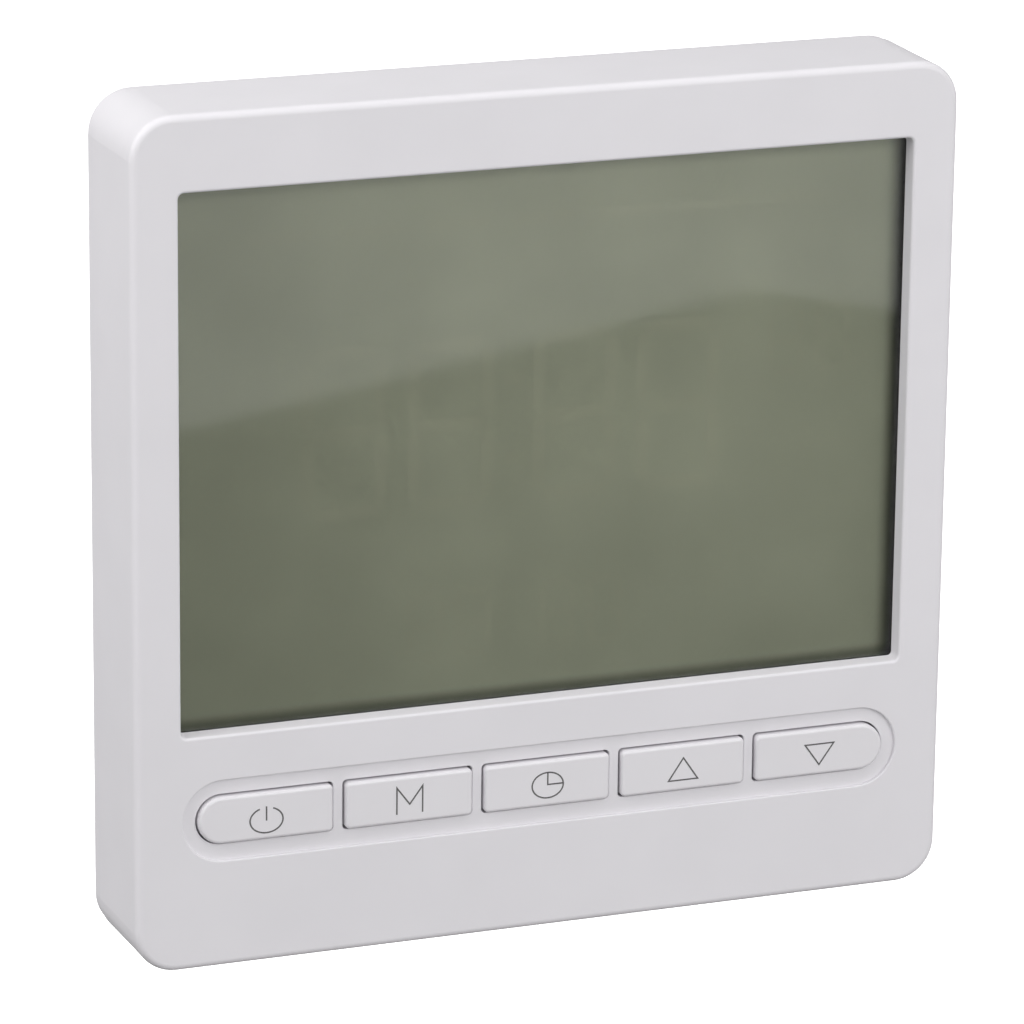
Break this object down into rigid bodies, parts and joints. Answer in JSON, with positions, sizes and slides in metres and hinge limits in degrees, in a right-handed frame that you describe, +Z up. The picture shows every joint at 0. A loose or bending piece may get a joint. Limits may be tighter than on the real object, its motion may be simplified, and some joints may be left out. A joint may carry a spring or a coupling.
{
  "type": "programmable heating timer",
  "caption": "Square wall-mounted programmable timer with a large display, a row of press keys, a lift-off face unit and a rear power unit for a wall box.",
  "frame": {"origin": "middle of the wall plane, centred between the two slotted screw holes of the mounting plate", "axes": "+X right as one faces the timer, +Y into the wall, +Z up"},
  "size_m": [0.086, 0.0415, 0.086],
  "materials": {
    "white_shell": "fine matte moulded texture",
    "key_plastic": "fine matte moulded texture, printed grey symbols",
    "white_housing": "moulded",
    "black_plastic": "moulded",
    "terminal_plastic": "moulded",
    "polariser": "smooth film over the display",
    "display_glass": "polished",
    "transflector": "satin reflecting film",
    "clear_acrylic": "polished",
    "white_film": "white film",
    "black_film": "embossed film",
    "led_body": "moulded",
    "grey_rubber": "smooth",
    "circuit_board": "solder mask over glass fibre",
    "zinc_steel": "zinc plated",
    "galvanised_steel": "galvanised",
    "bright_can": "bright",
    "black_epoxy": "moulded",
    "blue_case": "moulded",
    "yellow_case": "moulded",
    "brown_case": "moulded",
    "can_sleeve": "shrink sleeve",
    "ferrite": "ground ferrite",
    "winding_tape": "tape",
    "tinned_copper": "tinned"
  },
  "bodies": {
    "rear_unit": {"rear_frame": "white_shell", "mounting_plate": "galvanised_steel", "insulation_sheet": "black_film", "rear_housing": "white_housing", "header_socket": "black_plastic", "power_board": "circuit_board", "power_board_screws": "zinc_steel", "housing_screws": "zinc_steel", "relay": "blue_case", "film_capacitor": "yellow_case", "rectifier": "black_epoxy", "bulk_capacitor": "can_sleeve", "output_capacitor": "can_sleeve", "fuse": "brown_case", "varistor": "blue_case", "transformer_core": "ferrite", "transformer_winding": "winding_tape", "terminal_body": "terminal_plastic", "terminal_contacts": "tinned_copper"},
    "face_unit": {"front_cover": "white_shell", "switch_bodies": "black_plastic", "lcd_front_polariser": "polariser", "lcd_front_glass": "display_glass", "lcd_rear_glass": "display_glass", "lcd_rear_polariser": "transflector", "lcd_holder": "black_plastic", "light_guide": "clear_acrylic", "backlight_leds": "led_body", "reflector_sheet": "white_film", "contact_strip": "grey_rubber", "main_board": "circuit_board", "main_board_screws": "zinc_steel", "controller_chip": "black_epoxy", "memory_chip": "black_epoxy", "clock_crystal": "bright_can", "backup_cell": "bright_can", "cell_clip": "bright_can", "room_sensor": "black_epoxy", "chip_parts": "black_epoxy", "board_header": "black_plastic"},
    "power_key": {"power_key": "key_plastic"},
    "power_plunger": {"power_plunger": "black_plastic"},
    "mode_key": {"mode_key": "key_plastic"},
    "mode_plunger": {"mode_plunger": "black_plastic"},
    "clock_key": {"clock_key": "key_plastic"},
    "clock_plunger": {"clock_plunger": "black_plastic"},
    "up_key": {"up_key": "key_plastic"},
    "up_plunger": {"up_plunger": "black_plastic"},
    "down_key": {"down_key": "key_plastic"},
    "down_plunger": {"down_plunger": "black_plastic"},
    "terminal_screw_1": {"terminal_screw_1": "zinc_steel"},
    "terminal_cage_1": {"terminal_cage_1": "zinc_steel"},
    "terminal_screw_2": {"terminal_screw_2": "zinc_steel"},
    "terminal_cage_2": {"terminal_cage_2": "zinc_steel"},
    "terminal_screw_3": {"terminal_screw_3": "zinc_steel"},
    "terminal_cage_3": {"terminal_cage_3": "zinc_steel"},
    "terminal_screw_4": {"terminal_screw_4": "zinc_steel"},
    "terminal_cage_4": {"terminal_cage_4": "zinc_steel"},
    "terminal_screw_5": {"terminal_screw_5": "zinc_steel"},
    "terminal_cage_5": {"terminal_cage_5": "zinc_steel"}
  },
  "joints": [
    {"name": "face_release", "type": "slide", "parent": "rear_unit", "child": "face_unit", "axis": [0, -1, 0], "range_m": [0, 0.03]},
    {"name": "power_press", "type": "slide", "parent": "face_unit", "child": "power_key", "axis": [0, 1, 0], "range_m": [0, 0.0003], "stiffness_N_per_m": 400, "springref_m": -0.0006},
    {"name": "power_switch", "type": "slide", "parent": "face_unit", "child": "power_plunger", "axis": [0, 1, 0], "range_m": [0, 0.0003]},
    {"name": "mode_press", "type": "slide", "parent": "face_unit", "child": "mode_key", "axis": [0, 1, 0], "range_m": [0, 0.0003], "stiffness_N_per_m": 400, "springref_m": -0.0006},
    {"name": "mode_switch", "type": "slide", "parent": "face_unit", "child": "mode_plunger", "axis": [0, 1, 0], "range_m": [0, 0.0003]},
    {"name": "clock_press", "type": "slide", "parent": "face_unit", "child": "clock_key", "axis": [0, 1, 0], "range_m": [0, 0.0003], "stiffness_N_per_m": 400, "springref_m": -0.0006},
    {"name": "clock_switch", "type": "slide", "parent": "face_unit", "child": "clock_plunger", "axis": [0, 1, 0], "range_m": [0, 0.0003]},
    {"name": "up_press", "type": "slide", "parent": "face_unit", "child": "up_key", "axis": [0, 1, 0], "range_m": [0, 0.0003], "stiffness_N_per_m": 400, "springref_m": -0.0006},
    {"name": "up_switch", "type": "slide", "parent": "face_unit", "child": "up_plunger", "axis": [0, 1, 0], "range_m": [0, 0.0003]},
    {"name": "down_press", "type": "slide", "parent": "face_unit", "child": "down_key", "axis": [0, 1, 0], "range_m": [0, 0.0003], "stiffness_N_per_m": 400, "springref_m": -0.0006},
    {"name": "down_switch", "type": "slide", "parent": "face_unit", "child": "down_plunger", "axis": [0, 1, 0], "range_m": [0, 0.0003]},
    {"name": "cage_rise_1", "type": "slide", "parent": "rear_unit", "child": "terminal_cage_1", "axis": [0, 1, 0], "range_m": [0, 0.0018]},
    {"name": "screw_turn_1", "type": "hinge", "parent": "rear_unit", "child": "terminal_screw_1", "pos_m": [-0.0156, 0.0264, -0.0204], "axis": [0, -1, 0], "range_deg": [0, 1296]},
    {"name": "cage_rise_2", "type": "slide", "parent": "rear_unit", "child": "terminal_cage_2", "axis": [0, 1, 0], "range_m": [0, 0.0018]},
    {"name": "screw_turn_2", "type": "hinge", "parent": "rear_unit", "child": "terminal_screw_2", "pos_m": [-0.0078, 0.0264, -0.0204], "axis": [0, -1, 0], "range_deg": [0, 1296]},
    {"name": "cage_rise_3", "type": "slide", "parent": "rear_unit", "child": "terminal_cage_3", "axis": [0, 1, 0], "range_m": [0, 0.0018]},
    {"name": "screw_turn_3", "type": "hinge", "parent": "rear_unit", "child": "terminal_screw_3", "pos_m": [0, 0.0264, -0.0204], "axis": [0, -1, 0], "range_deg": [0, 1296]},
    {"name": "cage_rise_4", "type": "slide", "parent": "rear_unit", "child": "terminal_cage_4", "axis": [0, 1, 0], "range_m": [0, 0.0018]},
    {"name": "screw_turn_4", "type": "hinge", "parent": "rear_unit", "child": "terminal_screw_4", "pos_m": [0.0078, 0.0264, -0.0204], "axis": [0, -1, 0], "range_deg": [0, 1296]},
    {"name": "cage_rise_5", "type": "slide", "parent": "rear_unit", "child": "terminal_cage_5", "axis": [0, 1, 0], "range_m": [0, 0.0018]},
    {"name": "screw_turn_5", "type": "hinge", "parent": "rear_unit", "child": "terminal_screw_5", "pos_m": [0.0156, 0.0264, -0.0204], "axis": [0, -1, 0], "range_deg": [0, 1296]}
  ],
  "couplings": [
    {"joint": "power_switch", "follows": "power_press", "ratio": 1},
    {"joint": "mode_switch", "follows": "mode_press", "ratio": 1},
    {"joint": "clock_switch", "follows": "clock_press", "ratio": 1},
    {"joint": "up_switch", "follows": "up_press", "ratio": 1},
    {"joint": "down_switch", "follows": "down_press", "ratio": 1},
    {"joint": "screw_turn_1", "follows": "cage_rise_1", "rad_per_m": 12566},
    {"joint": "screw_turn_2", "follows": "cage_rise_2", "rad_per_m": 12566},
    {"joint": "screw_turn_3", "follows": "cage_rise_3", "rad_per_m": 12566},
    {"joint": "screw_turn_4", "follows": "cage_rise_4", "rad_per_m": 12566},
    {"joint": "screw_turn_5", "follows": "cage_rise_5", "rad_per_m": 12566}
  ]
}
